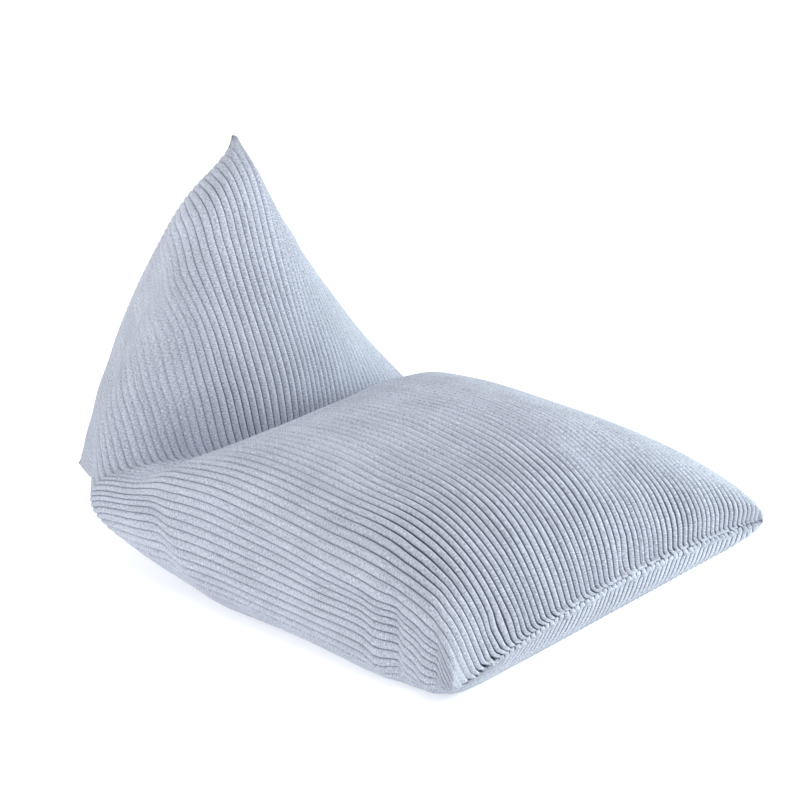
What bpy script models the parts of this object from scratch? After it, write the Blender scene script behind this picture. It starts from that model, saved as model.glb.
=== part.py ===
# Bean bag lounger: a filled tube of wide-rib cord, sewn flat across the foot and upright at the back.
# Metres, +Z up. +X is the far side and -X the near side; the foot looks along -Y and the back stands at +Y.
# The origin is on the floor, under the middle of the bag.

from collections import namedtuple

import bmesh
import bpy
import numpy as np

WIDTH = 0.72  # length of the foot seam; every number in SECTIONS is a share of it
RIBS = 128  # ribs of the cord once round the tube, half of them on the upper side
RIB_DEPTH = 0.0030  # from the crest of a rib to the groove beside it
FLOOR_FADE = 0.012  # the relief dies out over this height above the floor
CURVE_STEPS = 90  # fine steps along a quarter of a section, before its ribs are set out
LEAST_FLOOR_SHARE = 0.3  # ribs may crowd on the floor to this share of their pitch
MOST_FLOOR_SHARE = 1.2
PITCH = 2.0 / RIBS  # rib spacing as a share of WIDTH
COLOUR = (0.47, 0.49, 0.60, 1.0)

# One row for each section, from the foot seam to the back seam. A section is a closed curve round the bag.
# along: place along the tube, 0 at the foot seam and 1 at the back seam
# top_y, top_z: where the middle rib of the upper side passes
# near_x, near_y, near_z and far_x, far_y, far_z: the widest points, on the near and on the far side
# base_y, base_z: where the middle rib of the underside passes; below zero it lies flat on the floor
# near_tip, far_tip: 1 is a round top, less is boxy, more is a ridge
# wall: the same for the lower half; steps: rings from this section to the next
Section = namedtuple(
    "Section",
    "along top_y top_z near_x near_y near_z far_x far_y far_z base_y base_z near_tip far_tip wall steps",
)
SECTIONS = [
    Section(0.00, 0.000, 0.074, 0.502, 0.004, 0.026, 0.500, 0.004, 0.036, 0.002, 0.064, 1.00, 1.00, 1.00, 1),
    Section(0.03, 0.010, 0.120, 0.522, 0.002, 0.056, 0.500, 0.002, 0.046, 0.016, 0.016, 0.72, 1.05, 0.46, 1),
    Section(0.07, 0.032, 0.178, 0.530, 0.020, 0.102, 0.492, 0.020, 0.064, 0.044, -0.010, 0.66, 1.18, 0.38, 1),
    Section(0.12, 0.070, 0.233, 0.527, 0.062, 0.134, 0.482, 0.062, 0.084, 0.084, -0.021, 0.70, 1.25, 0.37, 1),
    Section(0.17, 0.125, 0.278, 0.518, 0.120, 0.154, 0.469, 0.120, 0.102, 0.135, -0.024, 0.76, 1.30, 0.36, 1),
    Section(0.23, 0.193, 0.309, 0.505, 0.200, 0.169, 0.453, 0.200, 0.118, 0.205, -0.024, 0.83, 1.33, 0.36, 1),
    Section(0.29, 0.270, 0.327, 0.487, 0.285, 0.179, 0.437, 0.280, 0.133, 0.285, -0.024, 0.87, 1.35, 0.37, 1),
    Section(0.35, 0.350, 0.339, 0.465, 0.370, 0.190, 0.422, 0.360, 0.145, 0.370, -0.024, 0.87, 1.33, 0.39, 1),
    Section(0.42, 0.435, 0.342, 0.440, 0.480, 0.201, 0.410, 0.455, 0.157, 0.470, -0.024, 0.87, 1.26, 0.41, 1),
    Section(0.49, 0.515, 0.331, 0.413, 0.590, 0.209, 0.402, 0.550, 0.166, 0.560, -0.024, 0.87, 1.12, 0.43, 1),
    Section(0.55, 0.580, 0.292, 0.386, 0.700, 0.212, 0.403, 0.640, 0.172, 0.650, -0.020, 0.87, 0.97, 0.46, 1),
    Section(0.60, 0.625, 0.222, 0.360, 0.800, 0.200, 0.405, 0.705, 0.174, 0.735, -0.014, 0.87, 0.86, 0.53, 1),
    Section(0.64, 0.640, 0.240, 0.344, 0.870, 0.192, 0.402, 0.750, 0.184, 0.800, -0.004, 0.91, 0.80, 0.68, 2),
    Section(0.70, 0.654, 0.340, 0.324, 0.872, 0.290, 0.330, 0.800, 0.262, 0.885, 0.010, 0.95, 0.92, 0.88, 2),
    Section(0.77, 0.682, 0.455, 0.280, 0.864, 0.390, 0.246, 0.845, 0.360, 0.980, 0.022, 1.00, 1.15, 1.05, 2),
    Section(0.85, 0.724, 0.585, 0.222, 0.862, 0.462, 0.163, 0.885, 0.430, 1.065, 0.038, 0.94, 1.48, 1.20, 2),
    Section(0.93, 0.762, 0.690, 0.180, 0.886, 0.530, 0.098, 0.935, 0.460, 1.130, 0.058, 0.86, 1.48, 1.30, 2),
    Section(1.00, 0.806, 0.755, 0.004, 0.985, 0.430, 0.004, 0.985, 0.430, 1.175, 0.086, 1.10, 1.40, 1.30, 0),
]


def clear_scene():
    for item in list(bpy.data.objects):
        bpy.data.objects.remove(item, do_unlink=True)


def ring_places():
    # where the rings stand along the tube
    places = []
    for here, after in zip(SECTIONS, SECTIONS[1:]):
        for step in range(here.steps):
            places.append(here.along + (after.along - here.along) * step / here.steps)
    return np.array(places + [1.0])


def eased_slopes(places, values):
    # a slope at each row that never overshoots the rows beside it
    rise = np.diff(values, axis=0) / np.diff(places)[:, None]
    slopes = np.zeros_like(values)
    same_way = rise[1:] * rise[:-1] > 0
    with np.errstate(divide="ignore", invalid="ignore"):
        slopes[1:-1] = np.where(same_way, 2 * rise[1:] * rise[:-1] / (rise[1:] + rise[:-1]), 0)
    slopes[0] = rise[0]
    slopes[-1] = rise[-1]
    return slopes


def sections_at(places):
    # the table read smoothly at any place along the tube
    table = np.array(SECTIONS, float)
    rows = table[:, 0]
    values = table[:, 1:]
    slopes = eased_slopes(rows, values)
    k = np.clip(np.searchsorted(rows, places, side="right") - 1, 0, len(rows) - 2)
    gap = (rows[k + 1] - rows[k])[:, None]
    t = (places - rows[k])[:, None] / gap
    start = (2 * t**3 - 3 * t**2 + 1) * values[k] + (t**3 - 2 * t**2 + t) * gap * slopes[k]
    end = (3 * t**2 - 2 * t**3) * values[k + 1] + (t**3 - t**2) * gap * slopes[k + 1]
    return [Section(place, *row) for place, row in zip(places, start + end)]


def quarter(section, side, up):
    # a fine curve from the widest point of one side (-1 near, 1 far) to the top or the base middle
    angle = np.linspace(0, np.pi / 2, CURVE_STEPS + 1)
    reach = section.near_x if side < 0 else section.far_x
    side_y = section.near_y if side < 0 else section.far_y
    side_y = section.near_y if side < 0 else section.far_y
    side_z = section.near_z if side < 0 else section.far_z
    tip = section.near_tip if side < 0 else section.far_tip
    if up < 0:
        tip = section.wall
    x = side * reach * np.cos(angle) ** tip
    rise = up * np.sin(angle) ** min(tip, 1.0)
    bend_y = (section.top_y + section.base_y) / 2 - side_y
    bend_z = (section.top_z + section.base_z) / 2 - side_z
    y = side_y + rise * (section.top_y - section.base_y) / 2 + rise**2 * bend_y
    z = side_z + rise * (section.top_z - section.base_z) / 2 + rise**2 * bend_z
    return np.stack([x, y, np.maximum(z, 0)], axis=1)


def set_out(curve, count):
    # points along a curve, a rib's pitch apart, but on the floor as far apart as fits the rest
    step = np.linalg.norm(np.diff(curve, axis=0), axis=1)
    resting = (curve[1:, 2] + curve[:-1, 2]) <= 0
    floor_length = step[resting].sum()
    share = 1.0
    if floor_length > PITCH:
        share = (count / 2 * PITCH - step[~resting].sum()) / floor_length
        share = min(max(share, LEAST_FLOOR_SHARE), MOST_FLOOR_SHARE)
    pace = np.concatenate([[0], np.cumsum(np.where(resting, step * share, step))])
    wanted = np.linspace(0, pace[-1], count + 1)
    return np.stack([np.interp(wanted, pace, curve[:, axis]) for axis in range(3)], axis=1)


def ring(section):
    # once round: near side, over the top, far side, under the base and back
    count = RIBS // 2  # two points for each rib, and a quarter of the ribs in each stretch
    near_up = set_out(quarter(section, -1, 1), count)
    far_up = set_out(quarter(section, 1, 1), count)[::-1]
    far_down = set_out(quarter(section, 1, -1), count)
    near_down = set_out(quarter(section, -1, -1), count)[::-1]
    return np.concatenate([near_up[:-1], far_up[:-1], far_down[:-1], near_down[:-1]])


def outward(grid):
    # unit normals of a grid of rings
    along = np.gradient(grid, axis=0)
    around = np.roll(grid, -1, axis=1) - np.roll(grid, 1, axis=1)
    normal = np.cross(around, along)
    return normal / np.maximum(np.linalg.norm(normal, axis=2, keepdims=True), 1e-9)


def raise_ribs(grid):
    # every second point is a crest and the one beside it a groove; seams and resting side stay plain
    crest = np.where(np.arange(grid.shape[1]) % 2 == 0, -0.5, 0.5) * RIB_DEPTH
    off_floor = np.clip(grid[:, :, 2] / FLOOR_FADE, 0, 1)
    relief = crest[None, :] * off_floor
    relief[0] = 0
    relief[-1] = 0
    ribbed = grid + outward(grid) * relief[:, :, None]
    ribbed[:, :, 2] = np.maximum(ribbed[:, :, 2], 0)
    return ribbed


def closing_faces(first, start, size):
    # faces that close a flat end ring: each point is joined to the one across the seam
    faces = []
    half = size // 2
    for i in range(half):
        corners = [start + i, start + i + 1, start - i - 1, start - i]
        corners = [first + c % size for c in corners]
        faces.append(list(dict.fromkeys(corners)))
    return faces


def cover_mesh(grid):
    rings, size = grid.shape[:2]
    mesh = bmesh.new()
    points = [mesh.verts.new(p) for p in grid.reshape(-1, 3)]
    faces = []
    for i in range(rings - 1):
        for j in range(size):
            k = (j + 1) % size
            faces.append([i * size + j, i * size + k, (i + 1) * size + k, (i + 1) * size + j])
    faces += closing_faces(0, 0, size)
    faces += closing_faces((rings - 1) * size, size // 4, size)
    for face in faces:
        mesh.faces.new([points[c] for c in face])
    bmesh.ops.recalc_face_normals(mesh, faces=mesh.faces)
    data = bpy.data.meshes.new("bean_bag")
    mesh.to_mesh(data)
    mesh.free()
    data.shade_smooth()
    return data


def cord_cloth():
    material = bpy.data.materials.new("wide rib cord")
    material.use_nodes = True
    shader = material.node_tree.nodes["Principled BSDF"]
    shader.inputs["Base Color"].default_value = COLOUR
    shader.inputs["Roughness"].default_value = 0.9
    shader.inputs["Metallic"].default_value = 0.0
    material.diffuse_color = COLOUR
    return material


def build():
    clear_scene()
    grid = np.array([ring(section) for section in sections_at(ring_places())]) * WIDTH
    grid = raise_ribs(grid)
    low = grid.min(axis=(0, 1))
    high = grid.max(axis=(0, 1))
    grid -= [(low[0] + high[0]) / 2, (low[1] + high[1]) / 2, low[2]]
    bag = bpy.data.objects.new("bean_bag", cover_mesh(grid))
    bag.data.materials.append(cord_cloth())
    lounger = bpy.data.collections.new("bean_bag_lounger")
    bpy.context.scene.collection.children.link(lounger)
    lounger.objects.link(bag)


build()
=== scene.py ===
import math

import bpy
import numpy as np
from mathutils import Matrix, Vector


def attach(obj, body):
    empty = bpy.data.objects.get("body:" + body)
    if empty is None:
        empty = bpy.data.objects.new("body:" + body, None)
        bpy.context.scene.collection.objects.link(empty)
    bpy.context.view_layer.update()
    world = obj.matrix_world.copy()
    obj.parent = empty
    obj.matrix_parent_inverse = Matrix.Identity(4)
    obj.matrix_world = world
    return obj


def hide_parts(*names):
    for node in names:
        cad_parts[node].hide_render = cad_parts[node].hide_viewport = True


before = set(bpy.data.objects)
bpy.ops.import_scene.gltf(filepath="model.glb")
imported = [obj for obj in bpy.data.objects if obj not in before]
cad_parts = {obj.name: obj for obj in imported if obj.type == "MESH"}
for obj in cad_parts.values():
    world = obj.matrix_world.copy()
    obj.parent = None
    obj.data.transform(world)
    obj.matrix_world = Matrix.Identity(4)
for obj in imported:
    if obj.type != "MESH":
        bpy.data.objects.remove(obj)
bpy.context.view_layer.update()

print("frame loaded, one filled bag")

# near is -X, far is +X, the foot looks along -Y, the back stands at +Y
bag = {
    "width": 0.72,              # along the foot seam, the table below is in shares of it
    "shift": (0.01082, -0.42292, 0.0),
    "ribs": 64,                 # over the top, and the same number underneath
    "ringsPerRow": [8, 3, 4, 5, 6, 6, 6, 6, 6, 7, 7, 7, 8, 8, 9, 9, 6, 4, 7],
    "closerAtFoot": 1.8,        # how the rings crowd towards the foot seam
    "closerAtBack": 1.6,        # and towards the back seam
    "curvePoints": 400,         # along a quarter of a section
    "acrossRib": [0.0, 0.085, 0.22, 0.5, 0.78, 0.915],   # places of the points on one rib
    "runOut": {-1: 0.27, 1: 0.08},   # share of the upper ribs that run over to the back, near and far side
    "lowerPitch": 1.12,         # of the ribs below the widest point
    "crowdHeight": 0.04,        # below it they crowd, in shares of the width
    "smoothing": 16,            # of their spacing, in quarter ribs
    "slant": 1.6,               # of the ribs below the foot seam, in ribs
    "kink": 0.60,               # of the upper ribs at the foot seam, in ribs
    "waver": 0.22,              # no rib runs quite straight, in ribs
    "backLean": 5.0,            # of the backrest's ribs to the near side, in ribs
    "backBend": 1.0,            # half way up the backrest, in ribs
    "gather": {"along": 0.60, "length": 0.06, "ribs": 8.0, "pull": 0.35},
    "grooveDepth": 0.0048,
    "crownRise": 0.0012,
    "roundness": 2.6,           # of a rib's section, more is flatter on top
    "floorFade": 0.010,         # the relief dies out over this height
    "foldFade": 0.03,           # and the folds over this one
    "knots": {"foot": 0.0042, "back": 0.0012, "start": 0.0045, "length": 0.0026},
    "seamDraw": {"depth": 0.0028, "length": 0.0022},
}

# along, topY, topZ, nearX, nearY, nearZ, farX, farY, farZ, baseY, baseZ, nearTip, farTip, wall
bagSections = [
    (0.00, 0.003, 0.0705, 0.502, 0.006, 0.030, 0.506, 0.006, 0.038, 0.004, 0.0685, 1.00, 1.00, 1.00),
    (0.03, 0.010, 0.120, 0.522, 0.002, 0.056, 0.507, 0.002, 0.046, 0.016, 0.016, 0.72, 1.05, 0.46),
    (0.07, 0.032, 0.178, 0.530, 0.020, 0.102, 0.492, 0.020, 0.064, 0.044, -0.010, 0.66, 1.14, 0.38),
    (0.12, 0.070, 0.229, 0.527, 0.062, 0.134, 0.482, 0.062, 0.084, 0.084, -0.021, 0.70, 1.35, 0.37),
    (0.17, 0.125, 0.275, 0.518, 0.120, 0.154, 0.469, 0.120, 0.102, 0.135, -0.024, 0.76, 1.38, 0.36),
    (0.23, 0.193, 0.309, 0.505, 0.200, 0.169, 0.453, 0.200, 0.118, 0.205, -0.024, 0.83, 1.33, 0.36),
    (0.29, 0.270, 0.327, 0.487, 0.285, 0.179, 0.437, 0.280, 0.133, 0.285, -0.024, 0.87, 1.35, 0.40),
    (0.35, 0.350, 0.339, 0.465, 0.370, 0.190, 0.422, 0.360, 0.145, 0.370, -0.024, 0.87, 1.33, 0.43),
    (0.42, 0.435, 0.342, 0.440, 0.480, 0.201, 0.410, 0.455, 0.157, 0.470, -0.024, 0.87, 1.26, 0.44),
    (0.49, 0.515, 0.331, 0.413, 0.590, 0.209, 0.402, 0.550, 0.166, 0.560, -0.024, 0.87, 1.12, 0.43),
    (0.55, 0.580, 0.292, 0.386, 0.700, 0.204, 0.403, 0.640, 0.172, 0.650, -0.020, 0.87, 0.97, 0.50),
    (0.60, 0.625, 0.222, 0.360, 0.802, 0.184, 0.405, 0.705, 0.174, 0.735, -0.014, 0.87, 0.86, 0.60),
    (0.64, 0.640, 0.240, 0.344, 0.874, 0.176, 0.402, 0.750, 0.184, 0.794, -0.004, 0.91, 0.80, 0.81),
    (0.70, 0.654, 0.340, 0.324, 0.874, 0.280, 0.330, 0.800, 0.262, 0.879, 0.010, 0.95, 0.92, 0.95),
    (0.77, 0.682, 0.455, 0.274, 0.864, 0.390, 0.246, 0.845, 0.360, 0.980, 0.022, 1.00, 1.15, 1.05),
    (0.85, 0.724, 0.585, 0.212, 0.862, 0.462, 0.163, 0.885, 0.430, 1.068, 0.036, 0.94, 1.48, 1.10),
    (0.93, 0.762, 0.690, 0.150, 0.895, 0.520, 0.098, 0.935, 0.460, 1.136, 0.050, 0.95, 1.48, 1.10),
    (0.965, 0.784, 0.724, 0.094, 0.935, 0.520, 0.054, 0.960, 0.450, 1.157, 0.059, 0.80, 1.45, 1.14),
    (0.985, 0.797, 0.742, 0.058, 0.962, 0.478, 0.026, 0.974, 0.440, 1.167, 0.066, 0.76, 1.42, 1.20),
    (1.00, 0.808, 0.755, 0.002, 0.985, 0.430, 0.002, 0.985, 0.430, 1.174, 0.071, 1.00, 1.40, 1.30),
]

# where the filling has settled and the cloth has a soft fold, dent or swell, read off the bag itself
bagFolds = [
    # name, along, rib, half length along, half width in ribs, lean, depth in mm (minus is a dent)
    ("near wall dent", 0.170, 122.5, 0.013, 7.5, 0.0005, -10.0),
    ("near wall swell", 0.199, 122.0, 0.015, 7.5, 0.0005, 6.5),
    ("corner dent", 0.078, 123.0, 0.012, 8.0, 0.0005, -7.0),
    ("corner swell", 0.104, 122.5, 0.014, 8.0, 0.0005, 5.0),
    ("rear dent", 0.560, 124.0, 0.013, 4.5, 0.002, -6.0),
    ("rear swell", 0.530, 124.5, 0.012, 4.5, 0.002, 4.0),
    ("front pinch", 0.022, 34.0, 0.012, 0.9, 0.0, -4.5),
    ("front gather", 0.025, 9.2, 0.014, 1.6, 0.0, -4.5),
    ("front gather lip", 0.026, 12.0, 0.014, 1.5, 0.0, 2.5),
    ("backrest dimple", 0.865, 25.0, 0.018, 3.0, 0.0, -3.5),
    ("backrest pale band", 0.930, 22.0, 0.020, 5.0, 0.0, 3.5),
    ("backrest kink", 0.835, 42.0, 0.020, 2.5, 0.0, 3.0),
]

unevenRibs = np.random.default_rng(7).uniform(-1, 1, (3, 2 * bag["ribs"]))   # no rib is sewn down like the next


def easeStep(x, low, high):
    t = np.clip((x - low) / (high - low), 0, 1)
    return t * t * (3 - 2 * t)


def ringPlaces():
    rows = [row[0] for row in bagSections]
    places = []
    for here, after, steps in zip(rows, rows[1:], bag["ringsPerRow"]):
        part = np.arange(steps) / steps
        if here == 0.0:
            part = part ** bag["closerAtFoot"]
        if after == 1.0:
            part = 1 - (1 - part) ** bag["closerAtBack"]
        places += list(here + (after - here) * part)
    return np.array(places + [1.0])


def readSections(places):
    # the table between its rows, eased so that nothing overshoots
    table = np.array(bagSections)
    rows, values = table[:, 0], table[:, 1:]
    rise = np.diff(values, axis=0) / np.diff(rows)[:, None]
    slope = np.zeros_like(values)
    sameWay = rise[1:] * rise[:-1] > 0
    slope[1:-1] = np.where(sameWay, 2 * rise[1:] * rise[:-1] / (rise[1:] + rise[:-1] + 1e-12), 0)
    slope[0], slope[-1] = rise[0], rise[-1]
    k = np.clip(np.searchsorted(rows, places, side="right") - 1, 0, len(rows) - 2)
    gap = (rows[k + 1] - rows[k])[:, None]
    t = (places - rows[k])[:, None] / gap
    start = (2 * t**3 - 3 * t**2 + 1) * values[k] + (t**3 - 2 * t**2 + t) * gap * slope[k]
    return start + (3 * t**2 - 2 * t**3) * values[k + 1] + (t**3 - t**2) * gap * slope[k + 1]


def sideCurve(row, side):
    # half a ring: from the middle of the top over the widest point of this side to the middle of the base
    topY, topZ, nearX, nearY, nearZ, farX, farY, farZ, baseY, baseZ, nearTip, farTip, wall = row
    reach, sideY, sideZ, tip = (nearX, nearY, nearZ, nearTip) if side < 0 else (farX, farY, farZ, farTip)
    angle = np.linspace(0, np.pi / 2, bag["curvePoints"])
    halves = []
    for up, power in ((1, tip), (-1, wall)):
        rise = up * np.sin(angle) ** min(power, 1.0)
        x = side * reach * np.cos(angle) ** power
        y = sideY + rise * (topY - baseY) / 2 + rise**2 * ((topY + baseY) / 2 - sideY)
        z = sideZ + rise * (topZ - baseZ) / 2 + rise**2 * ((topZ + baseZ) / 2 - sideZ)
        halves.append(np.stack([x, y, np.maximum(z, 0)], axis=1))
    return np.concatenate([halves[0][::-1], halves[1][1:]])


def ribSpots(curve, place, side):
    # how far along half a ring each quarter rib lies: half the ribs reach the widest point, fewer up the
    # backrest, and the others share what is below it and crowd where it rests on the floor
    ribs, widest, reach = bag["ribs"], bag["curvePoints"] - 1, bag["smoothing"]
    upperRibs = ribs / 2 * (1 - bag["runOut"][side] * easeStep(place, 0.61, 0.92))
    step = np.linalg.norm(np.diff(curve, axis=0), axis=1)
    length = np.concatenate([[0], np.cumsum(step)])
    upper = step[:widest] / step[:widest].sum() * upperRibs
    lower = step[widest:] * ribs / bag["lowerPitch"]
    height = (curve[widest + 1:, 2] + curve[widest:-1, 2]) / 2
    give = np.clip(1 - height / bag["crowdHeight"], 0.25, 1)
    lower = lower * (1 + (ribs - upperRibs - lower.sum()) / (lower * give).sum() * give)
    pace = np.concatenate([[0], np.cumsum(np.concatenate([upper, lower]))])
    fine = np.arange(0, ribs + 0.01, 0.25)
    spots = np.interp(fine, pace, length)
    longer = np.concatenate([-spots[reach:0:-1], spots, 2 * spots[-1] - spots[-2:-2 - reach:-1]])
    window = np.hanning(2 * reach + 1)
    return fine, np.convolve(longer, window / window.sum(), "valid"), length


def ribDrift(ribPlace, place):
    # where a rib lies at this place along the bag, counted in ribs round it
    ribs, gather = bag["ribs"], bag["gather"]
    below = ribPlace >= ribs
    edge = np.minimum(ribPlace % ribs, ribs - ribPlace % ribs)       # from the nearer ridge
    inside = 1 - ((ribPlace - 1.5 * ribs) / (0.5 * ribs)) ** 6
    slant = 0.5 + bag["slant"] * easeStep(place, 0, 0.045)           # half a rib aside of the one above
    slant = slant * (1 - easeStep(place, 0.2, 0.5))
    spot = ribPlace + np.where(below, slant * inside, 0)
    uneven = 1 + 0.5 * unevenRibs[0][ribPlace.astype(int)]
    kink = bag["kink"] * math.exp(-(place / 0.0045) ** 2) * uneven
    spot = spot + np.where(below, 0, kink) * np.clip(edge / 4, 0, 1)
    waver = np.sin(23 * place + 0.35 * ribPlace) * np.sin(9 * place - 0.19 * ribPlace + 1.0)
    spot = spot + bag["waver"] * waver * np.clip(edge / 6, 0, 1)
    fromNear = np.where(below, ribPlace - 2 * ribs, ribPlace)
    upBack = np.clip((place - 0.62) / 0.30, 0, 1) ** 0.9
    lean = bag["backLean"] * upBack * np.sin(np.pi * np.clip((fromNear + 24) / 62, 0, 1))
    halfWay = math.exp(-((place - 0.80) / 0.09) ** 2)
    bend = bag["backBend"] * halfWay * np.sin(np.pi * np.clip(ribPlace / ribs, 0, 1))
    spot = spot - lean - bend
    pull = gather["pull"] * math.exp(-((place - gather["along"]) / gather["length"]) ** 2)
    aside = 2 * ribs - spot
    drawn = 2 * ribs - aside * (1 - pull * np.exp(-(aside / gather["ribs"]) ** 2))
    return np.where((aside < ribs / 2) & below, drawn, spot) % (2 * ribs)


def layRibs(places):
    # every ring of the cover: near side, over the top, far side, underneath and back
    ribs = bag["ribs"]
    over = np.array([k + a for k in range(ribs) for a in bag["acrossRib"]])
    ribPlace = np.concatenate([over, over + ribs])
    grid, spread = [], []
    for place, row in zip(places, readSections(places)):
        spot = ribDrift(ribPlace, place)
        fromTop = (spot - ribs / 2 + ribs) % (2 * ribs) - ribs       # far side positive, near side negative
        ring = np.zeros((len(ribPlace), 3))
        wide = np.zeros(len(ribPlace))
        for side in (-1, 1):
            curve = sideCurve(row, side)
            fine, spots, length = ribSpots(curve, place, side)
            mine = fromTop < 0 if side < 0 else fromTop >= 0
            at = np.interp(np.abs(fromTop[mine]), fine, spots)
            ring[mine] = np.stack([np.interp(at, length, curve[:, k]) for k in range(3)], axis=1)
            wide[mine] = np.interp(np.abs(fromTop[mine]), fine, np.gradient(spots, fine))
        grid.append(ring)
        spread.append(wide)
    return np.array(grid) * bag["width"], np.array(spread) * ribs, ribPlace


def outward(grid):
    along = np.gradient(grid, axis=0)
    around = np.roll(grid, -3, axis=1) - np.roll(grid, 3, axis=1)
    normal = np.cross(around, along)
    return normal / np.maximum(np.linalg.norm(normal, axis=2, keepdims=True), 1e-9)


def settle(grid, normal, places, ribPlace):
    # soft folds, then a slow unevenness over the whole cover
    lift = np.zeros(grid.shape[:2])
    around = bag["ribs"] * 2
    for name, along, rib, length, width, lean, depth in bagFolds:
        across = (ribPlace[None, :] - rib + around / 2) % around - around / 2
        down = places[:, None] - along - lean * across
        lift += depth * 1e-3 * np.exp(-(down / length) ** 2 - (across / width) ** 2)
    u, turn = places[:, None], ribPlace[None, :] / around * 2 * np.pi
    lift += 0.0009 * np.sin(13 * u + 3 * turn) * np.sin(5 * turn + 1.3)
    lift += 0.0006 * np.sin(31 * u - 7 * turn + 0.6) * np.cos(4 * turn - 9 * u)
    offFloor = np.clip(grid[:, :, 2] / bag["foldFade"], 0, 1)
    return grid + normal * (lift * offFloor)[:, :, None]


def ribStrength(places, ribPlace):
    # how boldly the ribs stand out, and how dark the painted shade in their grooves is: 1 is plain cord
    u, r = places[:, None], ribPlace[None, :]
    upper = easeStep(r, 1, 10) * (1 - easeStep(r, 62, 67))
    foot = 1 - easeStep(u, 0.10, 0.36)
    back = easeStep(u, 0.62, 0.70)
    nearTop = (1 - easeStep(r, 14, 24)) * easeStep(u, 0.15, 0.3)
    farTop = easeStep(r, 34, 46) * upper
    rolled = 0.10 + 0.55 * upper + 0.45 * farTop                     # rolled up round at the foot
    seat = 0.70 + 0.28 * upper - 0.26 * nearTop * upper + foot * rolled
    crisp = easeStep(r, 14, 22) * (1 - easeStep(r, 34, 43))
    brushed = easeStep(u, 0.70, 0.80) * (1 - easeStep(r, 18, 30))
    pulledFlat = 0.20 * easeStep(r, 38, 50) * (1 - easeStep(r, 64, 70))
    backrest = 0.52 + 0.38 * crisp - 0.24 * brushed - pulledFlat
    ends = 1 - 0.6 * easeStep(u, 0.93, 1.0)
    strength = (seat * (1 - back) + backrest * back) * ends
    corner = np.minimum(np.abs(r - 64), np.minimum(r, 128 - r))
    strength = strength * (1 - np.exp(-(corner / 2.0) ** 2) * (1 - easeStep(u, 0.015, 0.05)))
    below = easeStep(r, 63, 66) * (1 - easeStep(r, 122, 128)) * (1 - easeStep(u, 0.05, 0.09))
    # underneath, the ribs stand lower and their grooves get more painted shade
    return strength * (1 - 0.35 * below), strength * (1 + 0.55 * below)


def ribRelief(ribPlace, spread, strength):
    # flat crown with round shoulders, tight ribs stand rounder with deeper grooves
    phase = ribPlace % 1.0
    fromGroove = np.minimum(phase, 1 - phase)[None, :]
    tight = np.clip(1.1 - spread, 0, 0.6)
    power = bag["roundness"] * (1 - 0.3 * tight) / np.clip(strength, 0.8, 1.25)
    profile = 1 - (1 - 2 * fromGroove) ** power
    depth = bag["grooveDepth"] * strength
    return bag["crownRise"] * strength - depth * (1 - profile)


def seamKnots(grid, ribPlace):
    # each rib is drawn in at the two seams, with a small knot before it
    knots, draw = bag["knots"], bag["seamDraw"]
    rib = ribPlace.astype(int)
    lift = np.zeros(grid.shape[:2])
    crown = np.sin(np.pi * (ribPlace % 1.0))[None, :] ** 2
    for rows, sign, height in ((grid, 1, knots["foot"]), (grid[::-1], -1, knots["back"])):
        step = np.linalg.norm(np.diff(rows, axis=0), axis=2)
        run = np.concatenate([np.zeros((1, rows.shape[1])), np.cumsum(step, axis=0)])[::sign]
        knot = height * (1 + 0.55 * unevenRibs[1][rib])
        start = knots["start"] + 0.0014 * unevenRibs[2][rib]
        lift += knot * np.exp(-((run - start) / knots["length"]) ** 2) * crown
        lift -= draw["depth"] * np.exp(-(run / draw["length"]) ** 2)
    return lift


def coverFaces(rings, size):
    faces = []
    for i in range(rings - 1):
        for j in range(size):
            k = (j + 1) % size
            faces.append((i * size + j, i * size + k, (i + 1) * size + k, (i + 1) * size + j))
    for first, start in ((0, 0), ((rings - 1) * size, size // 4)):   # close the two flat seams
        for i in range(size // 2):
            corner = [first + c % size for c in (start + i, start + i + 1, start - i - 1, start - i)]
            corner = list(dict.fromkeys(corner))
            faces.append(tuple(corner[::-1] if first == 0 else corner))
    return faces


def mapCover(mesh, grid, ribPlace, grooveTone):
    # clothMap: u in ribs, v in rib widths along the cord; the second map's u is how dark the painted shade in
    # the grooves is
    size = grid.shape[1]
    corner = np.zeros(len(mesh.loops), int)
    mesh.loops.foreach_get("vertex_index", corner)
    ringGap = np.linalg.norm(np.diff(grid[:, ::6], axis=0), axis=2).mean(axis=1)
    lengthAlong = np.concatenate([[0], np.cumsum(ringGap)]) / (bag["width"] / bag["ribs"])
    uv = np.stack([ribPlace[corner % size], lengthAlong[corner // size]], axis=1)
    faceStart = np.zeros(len(mesh.polygons), int)
    mesh.polygons.foreach_get("loop_start", faceStart)
    for start, count in zip(faceStart, np.diff(np.append(faceStart, len(corner)))):
        u = uv[start:start + count, 0]
        ofCover = count == 4 and corner[start] // size != corner[start + 2] // size
        if ofCover and u.max() - u.min() > bag["ribs"]:
            u[u < bag["ribs"]] += 2 * bag["ribs"]                    # the last rib meets the first one
    mesh.uv_layers.new(name="clothMap").data.foreach_set("uv", uv.ravel())
    # the painted groove shade, stored per corner in the second map
    tone = grooveTone.ravel()[corner]
    mesh.uv_layers.new(name="grooveShadeMap").data.foreach_set("uv", np.stack([tone, 0 * tone], axis=1).ravel())


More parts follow.
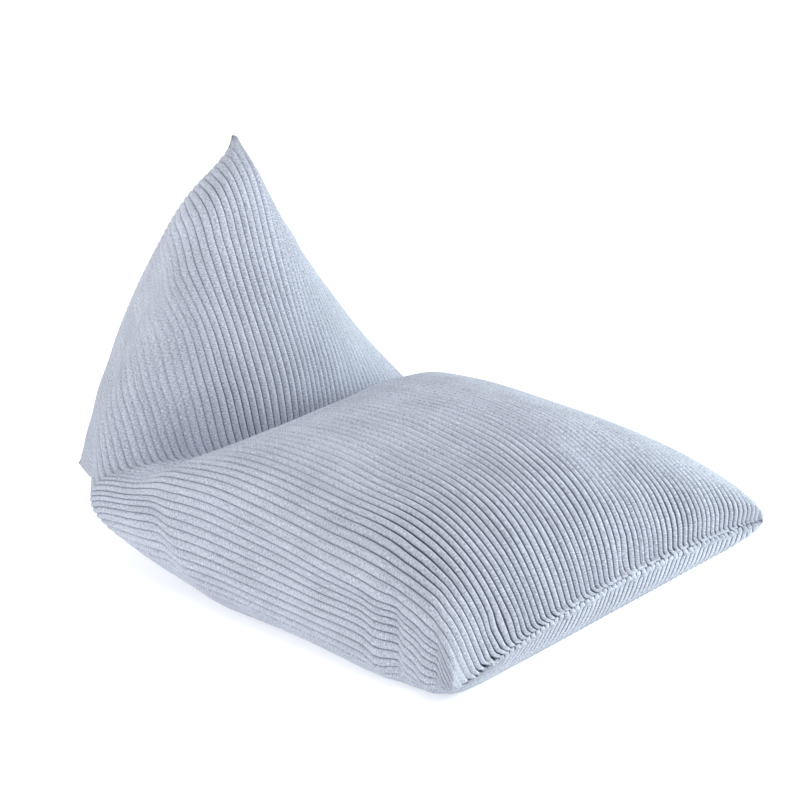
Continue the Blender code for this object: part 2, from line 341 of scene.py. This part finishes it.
def makeCover():
    places = ringPlaces()
    grid, spread, ribPlace = layRibs(places)
    normal = outward(grid)
    grid = settle(grid, normal, places, ribPlace)
    offFloor = np.clip(grid[:, :, 2] / bag["floorFade"], 0, 1)
    strength, grooveTone = ribStrength(places, ribPlace)
    relief = ribRelief(ribPlace, spread, strength) + seamKnots(grid, ribPlace)
    grid = grid + normal * (relief * offFloor)[:, :, None]
    grid[:, :, 2] = np.maximum(grid[:, :, 2], 0)
    grid = grid + np.array(bag["shift"])
    mesh = bpy.data.meshes.new("cordCover")
    mesh.from_pydata([tuple(p) for p in grid.reshape(-1, 3)], [], coverFaces(*grid.shape[:2]))
    mesh.update()
    mapCover(mesh, grid, ribPlace, grooveTone)
    mesh.shade_smooth()
    cover = bpy.data.objects.new("cordCover", mesh)
    bpy.context.scene.collection.objects.link(cover)
    return cover


class Sock:
    # one shader socket, maths on it adds Math nodes
    def __init__(self, tree, out):
        self.tree, self.out = tree, out

    def beside(self, index):
        # another output of the same node
        return Sock(self.tree, self.out.node.outputs[index])

    def math(self, kind, *values):
        return node(self.tree, "ShaderNodeMath", {"operation": kind}, values)

    def __add__(self, other):
        return self.math("ADD", self, other)

    def __radd__(self, other):
        return self.math("ADD", other, self)

    def __sub__(self, other):
        return self.math("SUBTRACT", self, other)

    def __rsub__(self, other):
        return self.math("SUBTRACT", other, self)

    def __mul__(self, other):
        return self.math("MULTIPLY", self, other)

    def __rmul__(self, other):
        return self.math("MULTIPLY", other, self)


def node(tree, kind, settings=None, values=(), output=0):
    # adds any node: settings first, then the values or links of its sockets
    made = tree.nodes.new(kind)
    for name, value in (settings or {}).items():
        setattr(made, name, value)
    pairs = values.items() if isinstance(values, dict) else enumerate(values)
    for key, value in pairs:
        if isinstance(value, Sock):
            tree.links.new(value.out, made.inputs[key])
        else:
            made.inputs[key].default_value = value
    return Sock(tree, made.outputs[output])


cord = {
    "base": (0.735, 0.79, 0.91, 1),
    "shade": (0.31, 0.33, 0.405, 1),      # pile that lies away from the light
    # painted shade in the grooves between the ribs
    "groove": (0.075, 0.09, 0.13, 1),
    "grooveHalf": 0.075,                  # in ribs, half width of the painted shade in the grooves
    "roughness": 0.92,
    "sheen": 0.35,
    "sheenRoughness": 0.45,
    "sheenTint": (0.9, 0.93, 1.0, 1),
    "specular": 0.2,
    "bump": 0.9,
    "bumpHeight": 0.0012,
    # noises: scale across and along a rib, detail, roughness
    "pile": (3.2, 9.0, 2.0, 0.6),         # short dashes across each rib
    "fuzz": (11.0, 17.0, 2.0, 0.7),
    "brushed": (0.16, 0.16, 3.0, 0.55),   # hand-sized patches of brushed pile, their sheen painted as lighter and darker colour
    "perRib": (0.9, 0.05, 1.0, 0.5),      # one rib a touch paler than the next
    # how far each of them shifts the tone, and the painted highlight on the knots and the painted shade in the
    # notches at the foot seam
    "pileTone": 0.9,
    "fuzzTone": 0.6,
    "brushedTone": 0.16,
    "perRibTone": 0.3,
    "knotHighlightTone": 0.4,
    "notchShadeTone": 0.6,
}


def cordMaterial():
    material = bpy.data.materials.new("paleBlueGreyCord")
    material.use_nodes = True
    tree = material.node_tree
    shader = tree.nodes["Principled BSDF"]

    def uvMap(name):
        return node(tree, "ShaderNodeSeparateXYZ", None, (node(tree, "ShaderNodeUVMap", {"uv_map": name}),))

    def fade(value, low, high, first, last, kind="LINEAR"):
        return node(tree, "ShaderNodeMapRange", {"interpolation_type": kind}, (value, low, high, first, last))

    def clothNoise(across, down, detail, roughness):
        place = node(tree, "ShaderNodeCombineXYZ", None, (ribs * across, along * down, 0.0))
        return node(tree, "ShaderNodeTexNoise", None,
                    {"Vector": place, "Scale": 1.0, "Detail": detail, "Roughness": roughness})

    def blend(mask, first, second):
        return node(tree, "ShaderNodeMix", {"data_type": "RGBA"}, {0: mask, 6: first, 7: second}, 2)

    ribs = uvMap("clothMap")
    along = ribs.beside(1)
    # how much painted shade the grooves get, read from the second map
    grooveShadeLevel = uvMap("grooveShadeMap")
    phase = ribs.math("FRACT", ribs)
    fromGroove = phase.math("MINIMUM", phase, 1 - phase)
    # painted shade in the grooves, wider and darker where the ribs stand bolder
    grooveShadeBand = fade(fromGroove - (grooveShadeLevel - 1.0) * 0.12,
                    cord["grooveHalf"] * 0.25, cord["grooveHalf"] * 1.6, 1.0, 0.0, "SMOOTHSTEP")
    grooveShadeBand = grooveShadeBand * fade(grooveShadeLevel, 0.2, 1.15, 0.3, 1.0)
    # painted highlight on the knots just above the foot seam, and painted shade in the notches right at it
    knot = fade(along, 0.25, 0.75, 1.0, 0.0, "SMOOTHSTEP")
    seamNotchShade = fade(along, 0.04, 0.16, 1.0, 0.0, "SMOOTHSTEP")
    dash = fade(clothNoise(*cord["pile"]), 0.34, 0.66, 0.0, 1.0)
    fuzz = clothNoise(*cord["fuzz"])
    # brushed pile patches, with their sheen painted into the tone
    patch = fade(clothNoise(*cord["brushed"]), 0.35, 0.65, 0.0, 1.0)
    perRib = clothNoise(*cord["perRib"])
    tone = 0.5 + (dash - 0.5) * cord["pileTone"] + (fuzz - 0.5) * cord["fuzzTone"]
    tone = tone + (patch - 0.5) * cord["brushedTone"] + (perRib - 0.5) * cord["perRibTone"]
    tone = tone + knot * cord["knotHighlightTone"] - seamNotchShade * cord["notchShadeTone"]
    # pile speckle, then painted shade in the grooves over it
    colour = blend(grooveShadeBand, blend(tone, cord["shade"], cord["base"]), cord["groove"])
    rough = cord["roughness"] + (dash - 0.5) * 0.06
    height = dash * 0.5 + fuzz * 0.5 + grooveShadeBand * -0.8
    bump = node(tree, "ShaderNodeBump", None,
                {"Strength": cord["bump"], "Distance": cord["bumpHeight"], "Height": height})
    tree.links.new(colour.out, shader.inputs["Base Color"])
    tree.links.new(rough.out, shader.inputs["Roughness"])
    tree.links.new(bump.out, shader.inputs["Normal"])
    shader.inputs["Sheen Weight"].default_value = cord["sheen"]
    shader.inputs["Sheen Roughness"].default_value = cord["sheenRoughness"]
    shader.inputs["Sheen Tint"].default_value = cord["sheenTint"]
    shader.inputs["Specular IOR Level"].default_value = cord["specular"]
    return material


cover = makeCover()
cover.data.materials.append(cordMaterial())
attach(cover, "root")
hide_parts("bean_bag")
print("cord cover:", len(cover.data.vertices), "points")

room = {
    "floorSize": 14.0,
    "floorColour": (0.97, 0.97, 0.97, 1),
    "floorGlow": 0.42,                    # keeps the floor pale round the bag
    "worldColour": (1.0, 1.0, 1.0, 1),
    "worldStrength": 0.66,
    "lights": [
        # name, place, aim, size, power, colour, spread in degrees
        ("softboxFar", (1.75, -1.45, 0.70), (0.05, -0.42, 0.16), 0.9, 7.5, (0.88, 1.0, 0.98), 66),
        ("softboxNear", (-1.2, -0.5, 2.6), (0, 0, 0.2), 1.6, 24, (1.0, 0.985, 1.0), 180),
        ("softboxBack", (-1.9, 2.3, 1.2), (0, 0.2, 0.25), 1.2, 12, (1.0, 0.99, 0.98), 180),
    ],
}


def makeFloor():
    mesh = bpy.data.meshes.new("studioFloor")
    r = room["floorSize"] / 2
    mesh.from_pydata([(-r, -r, 0), (r, -r, 0), (r, r, 0), (-r, r, 0)], [], [(0, 1, 2, 3)])
    floor = bpy.data.objects.new("studioFloor", mesh)
    bpy.context.scene.collection.objects.link(floor)
    material = bpy.data.materials.new("paleStudioFloor")
    material.use_nodes = True
    shader = material.node_tree.nodes["Principled BSDF"]
    shader.inputs["Base Color"].default_value = room["floorColour"]
    shader.inputs["Roughness"].default_value = 0.9
    shader.inputs["Specular IOR Level"].default_value = 0.1
    shader.inputs["Emission Color"].default_value = (1, 1, 1, 1)
    shader.inputs["Emission Strength"].default_value = room["floorGlow"]
    mesh.materials.append(material)


def makeLight(name, place, aim, size, power, colour, spread):
    data = bpy.data.lights.new(name, "AREA")
    data.shape, data.size, data.energy, data.color = "SQUARE", size, power, colour
    data.spread = math.radians(spread)
    light = bpy.data.objects.new(name, data)
    bpy.context.scene.collection.objects.link(light)
    light.location = place
    light.rotation_euler = (Vector(aim) - Vector(place)).to_track_quat("-Z", "Y").to_euler()


makeFloor()
for row in room["lights"]:
    makeLight(*row)
bpy.context.scene.view_settings.view_transform = "Standard"
world = bpy.data.worlds.new("studioAir")
world.use_nodes = True
world.node_tree.nodes["Background"].inputs[0].default_value = room["worldColour"]
world.node_tree.nodes["Background"].inputs[1].default_value = room["worldStrength"]
bpy.context.scene.world = world

view = {
    "turn": -56.13,                       # degrees round the bag from its foot
    "lift": 17.66,                        # degrees above the floor
    "far": 9.0,                           # in widths of the bag
    "aim": (0.2899, 0.65, 0.2102),        # in widths, before the shift
    "focal": 543.8 * 9.0,                 # in pixels of the picture
    "pictureWidth": 800,
    "sensorWidth": 36.0,
}


def makeCamera():
    a, e = math.radians(view["turn"]), math.radians(view["lift"])
    back = Vector((math.sin(a) * math.cos(e), -math.cos(a) * math.cos(e), math.sin(e)))
    aim = Vector(view["aim"]) * bag["width"] + Vector(bag["shift"])
    data = bpy.data.cameras.new("photoCamera")
    data.sensor_width = view["sensorWidth"]
    data.lens = view["focal"] / view["pictureWidth"] * view["sensorWidth"]
    data.clip_end = 50
    camera = bpy.data.objects.new("photoCamera", data)
    bpy.context.scene.collection.objects.link(camera)
    camera.location = aim + back * view["far"] * bag["width"]
    camera.rotation_euler = back.to_track_quat("Z", "Y").to_euler()
    bpy.context.scene.camera = camera


makeCamera()
print("floor, lights and camera set")
